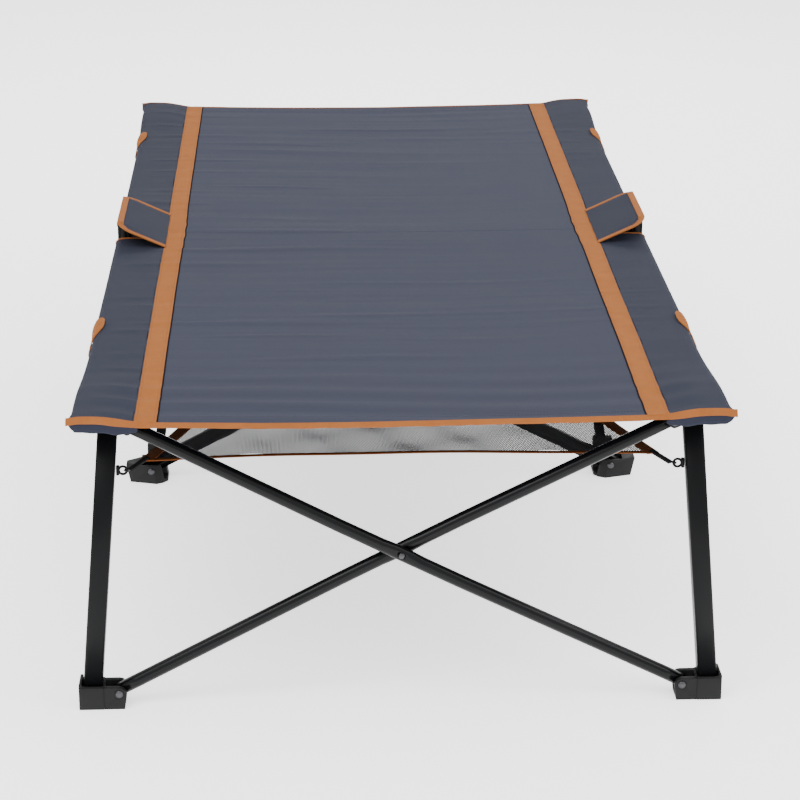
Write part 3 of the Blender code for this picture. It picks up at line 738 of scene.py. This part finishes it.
def flap_outline(t):
    """Free edge of the flap from its near root round the outer side to its far root, t from 0 to 1."""
    corner, centre = FLAP_CORNER, FLAP_OUTER - FLAP_CORNER
    turns = [math.radians(9 * k) for k in range(11)]
    points = [(FLAP_ROOT, FLAP_NEAR)]
    points += [(centre + corner * math.sin(a), FLAP_NEAR + corner - corner * math.cos(a)) for a in turns]
    points += [(centre + corner * math.cos(a), FLAP_FAR - corner + corner * math.sin(a)) for a in turns]
    points.append((FLAP_ROOT, FLAP_FAR))
    lengths = [0.0]
    for one, two in zip(points, points[1:]):
        lengths.append(lengths[-1] + math.dist(one, two))
    at = t * lengths[-1]
    k = next((k for k, length in enumerate(lengths[1:]) if at <= length + 1e-9), len(points) - 2)
    share = (at - lengths[k]) / (lengths[k + 1] - lengths[k])
    return [one + (two - one) * share for one, two in zip(points[k], points[k + 1])]


def flap_depth(s):
    """Near and far Y of the flap at distance s, inside its rounded corners."""
    across = max(0.0, min(1.0, (s - FLAP_OUTER + FLAP_CORNER) / FLAP_CORNER))
    inset = FLAP_CORNER * (1 - math.sqrt(1 - across * across))
    return FLAP_NEAR + inset, FLAP_FAR - inset


def flap(side_name):
    side = SIDES[side_name]
    rows = []
    for i in range(37):
        s = FLAP_ROOT + (FLAP_OUTER - 0.0004 - FLAP_ROOT) * i / 36
        near, far = flap_depth(s)
        ys = [near + (far - near) * j / 50 for j in range(51)]
        rows.append([(side * s, y, flap_height(s, y)) for y in ys])
    return cloth(f"{side_name}_flap", rows, SLEEVE_WEAVE, offset=side)


def flap_binding(side_name):
    side = SIDES[side_name]
    count = 110
    flat = [flap_outline(i / (count - 1)) for i in range(count)]
    line = [Vector((side * s, y, flap_height(s, y) - CLOTH / 2)) for s, y in flat]
    ups, aways = [], []
    for i in range(count):
        before, after = line[max(0, i - 1)], line[min(count - 1, i + 1)]
        along = (after - before).normalized()
        s, y = flat[i]
        slope = (flap_height(s + 0.002, y) - flap_height(s - 0.002, y)) / 0.004
        normal = Vector((-side * slope, 0, 1)).normalized()
        away = along.cross(normal)
        if away.dot(Vector((side * (s - FLAP_CENTRE_S), y - FLAP_CENTRE_Y, 0))) < 0:
            away = -away
        ups.append(normal)
        aways.append(away.normalized())
    return edge_tape(f"{side_name}_flap_binding", line, ups, aways, CORNER_BINDING, TAN_ALONG_X,
                     thickness=0.0030)


# Reinforcement patches on the outer edge of each sleeve

PATCH_HEAD = {"front": -0.498, "rear": 0.757}       # Y of the patch's far, rounded end
PATCH_LENGTH = 0.142
# How far in from the sleeve's outer edge the patch comes, at shares of its length from the head
PATCH_REACH = [(0.0, 0.0), (0.03, 0.0090), (0.08, 0.0160), (0.15, 0.0198), (0.30, 0.0205), (0.42, 0.0180),
               (0.52, 0.0128), (0.62, 0.0062), (0.70, 0.0018), (0.82, 0.0004), (1.0, 0.0)]


def patch_reach(share):
    steps = zip(PATCH_REACH, PATCH_REACH[1:])
    (start, low), (stop, high) = next(step for step in steps if share <= step[1][0])
    return low + (high - low) * (share - start) / (stop - start)


def patch_point(side, y, radius, run):
    """Point on the patch at run metres above the rail's level: round the rail, then in across its top."""
    quarter = radius * math.pi / 2
    turn = min(run, quarter) / radius
    s = RAIL_X + (radius - waist(y)) * math.cos(turn) - max(0.0, run - quarter)
    lift = cover_z(side * min(s, RAIL_X), y) - RAIL_Z - SLEEVE_RADIUS
    return side * s, y, RAIL_Z + radius * math.sin(turn) + lift * max(0.0, math.sin(turn))


def patch(end_name, side_name):
    """Teardrop patch wrapped round the sleeve's outer edge, with a scalloped lower edge."""
    side = SIDES[side_name]
    rows = []
    for i in range(77):
        share = i / 76
        radius = SLEEVE_RADIUS + 0.0016 + 0.0022 * bell(0.22, 0.35, share)
        y = PATCH_HEAD[end_name] - PATCH_LENGTH * share
        reach = patch_reach(share)
        top = radius * math.acos(1 - min(reach / radius, 1.0)) + max(0.0, reach - radius)
        width = min(1.0, 9 * share, 7 * (1 - share)) ** 0.5
        depth = 0.001 + (0.021 if share < 0.45 else 0.011) * width - 0.002 * math.cos(share * 34)
        low = min(top, radius) - depth
        rows.append([patch_point(side, y, radius, low + (top - low) * j / 22) for j in range(23)])
    return cloth(f"{end_name}_{side_name}_patch", rows, TAN_ALONG_Y, thickness=0.0016, offset=0.0)


# Storage net and the straps that hang it

NET_TOP = (NET_LOW.z + NET_HIGH.z) / 2
NET_HALF = NET_HIGH.x
NET_DEPTH = NET_HIGH.y - NET_LOW.y
NET_HOLLOW = 0.10               # how far its long sides curve in
NET_FRONT_HOLLOW = 0.017        # and its front edge
NET_SAG = 0.014
NET_PITCH = 0.0033              # between neighbouring threads
NET_SLANT = math.radians(58)    # of the threads, from crosswise
NET_STEP = 0.012                # between points along a thread
NET_REACH = NET_DEPTH / math.sin(NET_SLANT)
THREAD_WIDTH = 0.0019
THREAD_HEIGHT = 0.0001


def net_half_width(y):
    share = (y - NET_LOW.y) / NET_DEPTH
    return NET_HALF - NET_HOLLOW * math.sin(math.pi * max(0.0, min(1.0, share)))


def net_front(x):
    """Y of the front edge, which is drawn in between its corners."""
    return NET_LOW.y + NET_FRONT_HOLLOW * (1 - (x / NET_HALF) ** 2)


def net_z(x, y):
    share = max(0.0, min(1.0, (y - NET_LOW.y) / NET_DEPTH))
    across = 1 - min(1.0, abs(x) / net_half_width(y)) ** 2
    fold = 0.0016 * math.sin(60 * x + 34 * y) + 0.0012 * math.sin(23 * x - 51 * y)
    return NET_TOP - NET_SAG * math.sin(math.pi * share) * across + fold * across


def thread(bm, points, lift):
    """One flattened thread of the net, as a closed four-sided strand."""
    rings = []
    for i, point in enumerate(points):
        before, after = points[max(0, i - 1)], points[min(len(points) - 1, i + 1)]
        side = (after - before).cross(Vector((0, 0, 1))).normalized() * THREAD_WIDTH / 2
        rise = Vector((0, 0, THREAD_HEIGHT / 2))
        middle = point + Vector((0, 0, lift))
        rings.append([bm.verts.new(middle + step) for step in (side, rise, -side, -rise)])
    skin(bm, rings)


def net_runs(start, step):
    """The stretches of a straight line of points that lie on the net."""
    runs, current = [], []
    for i in range(int(NET_REACH / NET_STEP) + 1):
        x, y = start.x + step.x * i, start.y + step.y * i
        if NET_HIGH.y > y > net_front(x) and abs(x) < net_half_width(y):
            current.append(Vector((x, y, net_z(x, y))))
        else:
            runs.append(current)
            current = []
    return [run for run in runs + [current] if len(run) > 1]


def net():
    """Two layers of slanting threads, which cross in narrow diamonds."""
    bm = bmesh.new()
    spacing = NET_PITCH / math.sin(NET_SLANT)
    drift = NET_REACH * math.cos(NET_SLANT)
    for lean, lift in ((1, 0.0), (-1, THREAD_HEIGHT)):
        step = Vector((lean * math.cos(NET_SLANT), math.sin(NET_SLANT))) * NET_STEP
        for i in range(int((2 * NET_HALF + drift) / spacing)):
            start = Vector((lean * (spacing * i - NET_HALF - drift), NET_LOW.y))
            for run in net_runs(start, step):
                thread(bm, run, lift)
    return add_piece("net_mesh", mesh_from("storage_net_mesh", bm), NET)


def net_side_tape(side_name):
    side = SIDES[side_name]
    line, across = [], []
    for i in range(70):
        y = NET_LOW.y + NET_DEPTH * i / 69
        half = net_half_width(y)
        line.append((side * (half - 0.008), y, net_z(half, y) + 0.0006))
        slope = (net_half_width(y + 0.002) - net_half_width(y - 0.002)) / 0.004
        across.append(Vector((side, -slope, 0)).normalized())
    return ribbon(f"net_{side_name}_tape", line, across, [(0, 0, 1)] * 70, 0.019, 0.0022, RUST)


def net_end_tape(end_name):
    line = []
    for i in range(51):
        x = NET_HALF * (i / 25 - 1)
        y = net_front(x) if end_name == "front" else NET_HIGH.y - 0.004
        line.append((x, y, NET_TOP + 0.0008 + 0.0005 * math.sin(x * 23)))
    return ribbon(f"net_{end_name}_tape", line, [(0, 1, 0)] * 51, [(0, 0, 1)] * 51, 0.0080, 0.0016, RUST)


RING_CENTRE = Vector((RING_LOW.x + 0.0080, (RING_LOW.y + RING_HIGH.y) / 2, (RING_LOW.z + RING_HIGH.z) / 2))
RING_PIPE = 0.0060              # radius of the ring's centre line
STRAP_STEPS = 13
HOOK_RADIUS = 0.0037
HOOK_WIRE = 0.0012


def strap_line(side):
    """The straight run from the net's corner to the inner side of the ring."""
    start = Vector((side * (NET_HALF - 0.010), NET_LOW.y + 0.006, NET_TOP + 0.0024))
    end = Vector((side * (RING_CENTRE.x - RING_PIPE - 0.0040), RING_CENTRE.y + 0.0010, RING_CENTRE.z))
    return start, end


def strap(name, start, end, across, up, width, thickness):
    """A straight black tape from start to end."""
    line = [start.lerp(end, i / (STRAP_STEPS - 1)) for i in range(STRAP_STEPS)]
    return ribbon(name, line, [across] * STRAP_STEPS, [up] * STRAP_STEPS, width, thickness, BLACK_TAPE)


def corner_strap(side_name):
    """Black tape from the net's corner to the hook."""
    side = SIDES[side_name]
    start, end = strap_line(side)
    step = (end - start).normalized()
    across = step.cross(Vector((0, 0, 1))).normalized()
    return strap(f"net_{side_name}_corner_strap", start, end, across, across.cross(step), 0.0085, 0.0030)


def hook(side_name):
    """Wire hook from the corner strap round the ring's wire."""
    side = SIDES[side_name]
    start, end = strap_line(side)
    bend_centre = Vector((side * (RING_CENTRE.x - RING_PIPE), RING_CENTRE.y, RING_CENTRE.z))
    points = [end.lerp(start, 0.35), end]
    for i in range(13):
        turn = math.radians(180 - 250 * i / 12)
        points.append(bend_centre + Vector((side * math.cos(turn), math.sin(turn), 0)) * HOOK_RADIUS)
    return wire(f"net_{side_name}_hook", points, HOOK_WIRE, METAL)


def rear_hanger(side_name):
    """Black tape that holds the net's rear corner up to the side rail."""
    side = SIDES[side_name]
    low = Vector((side * (NET_HALF - 0.010), NET_HIGH.y - 0.006, NET_TOP + 0.002))
    high = Vector((side * (RAIL_X - 0.004), NET_HIGH.y - 0.004, RAIL_Z - SLEEVE_RADIUS - 0.003))
    across = Vector((0, 1, 0))
    up = (high - low).cross(across).normalized()
    return strap(f"net_{side_name}_rear_hanger", low, high, across, up, 0.016, 0.0014)


# Stitching

STITCH_LIFT = 0.0003            # the thread's middle above the cloth


def strip_seam(end_name, side_name, share, label):
    """Stitches along the webbing, at a share of its width."""
    end, side = ENDS[end_name], SIDES[side_name]
    points = []
    for y in end_rows(end, 170, MID_GAP + 0.002):
        s = WEB_INNER + WEB_WIDTH * share + web_wander(y, side)
        if abs(y) < EDGE_Y - 0.002:
            points.append((side * s, y, cover_z(side * s, y) + WEB_LIFT + STITCH_LIFT))
    return stitches(f"{end_name}_{side_name}_webbing_stitch_{label}", points, [(0, 0, 1)] * len(points),
                    THREAD_TAN)


def hem_seam(end_name, name, start, stop):
    """Stitches along the hem, between the two X values."""
    end = ENDS[end_name]
    y = end * (EDGE_Y - HEM)
    xs = [start + (stop - start) * i / 120 for i in range(121)]
    points = [(x, y, cover_z(x, y) + STITCH_LIFT) for x in xs]
    return stitches(name, points, [(0, 0, 1)] * 121, THREAD_GREY)


def flap_seam_point(t):
    """The flap's edge at t, moved in by the width of the seam."""
    s, y = flap_outline(t)
    if abs(y - FLAP_NEAR) > 0.02 and abs(y - FLAP_FAR) > 0.02:
        return s - FLAP_SEAM, y
    inward = Vector((FLAP_CENTRE_S - s, FLAP_CENTRE_Y - y)).normalized().x * 0.7 if s > 0.44 else 0.0
    back = math.copysign(0.75 if s > 0.455 else 1.0, FLAP_CENTRE_Y - y)
    return s + inward * FLAP_SEAM, y + back * FLAP_SEAM


def flap_seam(side_name):
    points = [(SIDES[side_name] * s, y, flap_height(s, y) + 0.0012)
              for s, y in (flap_seam_point(i / 159) for i in range(160))]
    return stitches(f"{side_name}_flap_stitching", points, [(0, 0, 1)] * 160, THREAD_TAN)


# The frame's solids: materials, and softened edges

MOULDED_EDGE = 0.0011           # rounding of the moulded parts' edges


def finish_solid(obj, node_name):
    moulded = node_name.endswith(("_hub", "_foot", "_knuckle"))
    if node_name.endswith(("_pin", "_rivet")):
        material = METAL
    elif moulded:
        material = PLASTIC
    else:
        material = GLOSS_STEEL if "arm" in node_name else SATIN_STEEL
    obj.data.materials.clear()
    obj.data.materials.append(material)
    weld = obj.modifiers.new("weld", "WELD")
    weld.merge_threshold = 0.00002
    if moulded:
        soften = obj.modifiers.new("soften", "BEVEL")
        soften.width = MOULDED_EDGE
        soften.segments = 2
        soften.limit_method = "ANGLE"
        soften.angle_limit = math.radians(35)
        soften.harden_normals = False
        soften.use_clamp_overlap = True
    obj.data.shade_smooth()


# Assembly


def half_cover(end_name):
    left = f"{end_name}_left"
    middle = panel(end_name)
    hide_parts(f"cover_{end_name}")
    tape = end_binding(end_name, f"{end_name}_binding_middle", -PANEL_EDGE, PANEL_EDGE, 90)
    hem = hem_seam(end_name, f"{end_name}_hem_stitch_middle", 0.002 - WEB_INNER, WEB_INNER - 0.002)
    for piece, material in ((middle, "slate_fabric"), (tape, "orange_webbing"), (hem, "slate_fabric")):
        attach(piece, left)
        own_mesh(piece)
    for side_name, side in SIDES.items():
        body = f"{end_name}_{side_name}"
        main = sleeve(end_name, side_name)
        trims = [web_strip(end_name, side_name), end_binding_sleeve(end_name, side_name),
                 notch_binding(end_name, side_name), patch(end_name, side_name)]
        dark = [main, under_lip(end_name, side_name), painted_seam_shadow(end_name, side_name),
                hem_seam(end_name, f"{body}_hem_stitch", side * (WEB_OUTER + 0.002), side * 0.440)]
        trims += [strip_seam(end_name, side_name, 0.10, "inner"),
                  strip_seam(end_name, side_name, 0.90, "outer")]
        for piece in dark + trims:
            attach(piece, body)


def hinge_flaps():
    for side_name in SIDES:
        main = flap(side_name)
        trims = [flap_binding(side_name), flap_seam(side_name)]
        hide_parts(f"hinge_flap_{side_name}")
        for piece in [main] + trims:
            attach(piece, f"flap_{side_name}")
            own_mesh(piece)


def fold_lining():
    middle = mid_lining("fold_lining_middle", -PANEL_EDGE, PANEL_EDGE, 0.0, WEAVE)
    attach(middle, "mid_hub_left")
    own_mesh(middle)
    for side_name, side in SIDES.items():
        low, high = sorted((side * PANEL_EDGE, side * (NOTCH_X - 0.002)))
        piece = mid_lining(f"fold_lining_{side_name}", low, high, 0.0, WEAVE)
        low, high = sorted((side * WEB_INNER, side * WEB_OUTER))
        strip = mid_lining(f"fold_webbing_{side_name}", low, high, 0.0008, TAN_ALONG_Y)
        for part, material in ((piece, "slate_fabric"), (strip, "orange_webbing")):
            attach(part, f"mid_hub_{side_name}")


def hanging_net():
    main = net()
    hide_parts("storage_net")
    trims = [net_side_tape("left"), net_side_tape("right"), net_end_tape("front"), net_end_tape("rear")]
    for piece in [main] + trims:
        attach(piece, "front_left")
        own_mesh(piece)
    for side_name in SIDES:
        for piece in (corner_strap(side_name), hook(side_name), rear_hanger(side_name)):
            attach(piece, f"front_{side_name}")


# Camera and studio

CAMERA_PLACE = (-0.1385, -4.4503, 1.7062)
CAMERA_YAW, CAMERA_PITCH = 0.0388, 0.3368       # radians to the right, and down
CAMERA_LENS = 117.26
FLOOR_HALF = 9.0


def camera():
    """Just above the front end, a little to the left, looking down the bed."""
    level = Vector((math.sin(CAMERA_YAW), math.cos(CAMERA_YAW), 0)) * math.cos(CAMERA_PITCH)
    forward = level - Vector((0, 0, math.sin(CAMERA_PITCH)))
    right = Vector((math.cos(CAMERA_YAW), -math.sin(CAMERA_YAW), 0))
    turn = Matrix((right, right.cross(forward), -forward)).transposed().to_4x4()
    data = bpy.data.cameras.new("camera")
    data.sensor_width = 36
    data.lens = CAMERA_LENS
    obj = bpy.data.objects.new("camera", data)
    obj.matrix_world = Matrix.Translation(CAMERA_PLACE) @ turn
    bpy.context.scene.collection.objects.link(obj)
    bpy.context.scene.camera = obj


def area_light(name, place, target, size, power):
    data = bpy.data.lights.new(name, "AREA")
    data.shape = "RECTANGLE"
    data.size, data.size_y = size
    data.energy = power
    obj = bpy.data.objects.new(name, data)
    obj.location = place
    obj.rotation_euler = (Vector(target) - Vector(place)).to_track_quat("-Z", "Y").to_euler()
    bpy.context.scene.collection.objects.link(obj)


def studio():
    """Pale floor, white surroundings and three large soft lights."""
    floor_mesh = bpy.data.meshes.new("floor")
    corners = [(-1, -1), (1, -1), (1, 1), (-1, 1)]
    floor_mesh.from_pydata([(x * FLOOR_HALF, y * FLOOR_HALF, 0) for x, y in corners], [], [(0, 1, 2, 3)])
    floor = bpy.data.objects.new("floor", floor_mesh)
    bpy.context.scene.collection.objects.link(floor)
    white = new_material("pale_floor", (0.95, 0.95, 0.95), 0.9, Emission_Color=(1, 1, 1, 1),
                         Emission_Strength=1.3)
    floor_mesh.materials.append(white)
    world = bpy.data.worlds.new("studio")
    bpy.context.scene.world = world
    world.use_nodes = True
    background = world.node_tree.nodes["Background"]
    background.inputs["Color"].default_value = (1, 1, 1, 1)
    background.inputs["Strength"].default_value = 1.5
    area_light("key", (-1.6, -2.4, 3.4), (0, 0, 0.3), (2.6, 2.0), 110)
    area_light("fill", (2.6, -1.2, 2.6), (0, 0, 0.3), (2.2, 2.2), 60)
    area_light("back", (0.4, 3.6, 2.8), (0, 0.3, 0.4), (3.0, 1.6), 90)


camera()
studio()
for cad_name, cad_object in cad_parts.items():
    finish_solid(cad_object, cad_name)
for name_of_end in ENDS:
    half_cover(name_of_end)
hinge_flaps()
fold_lining()
hanging_net()
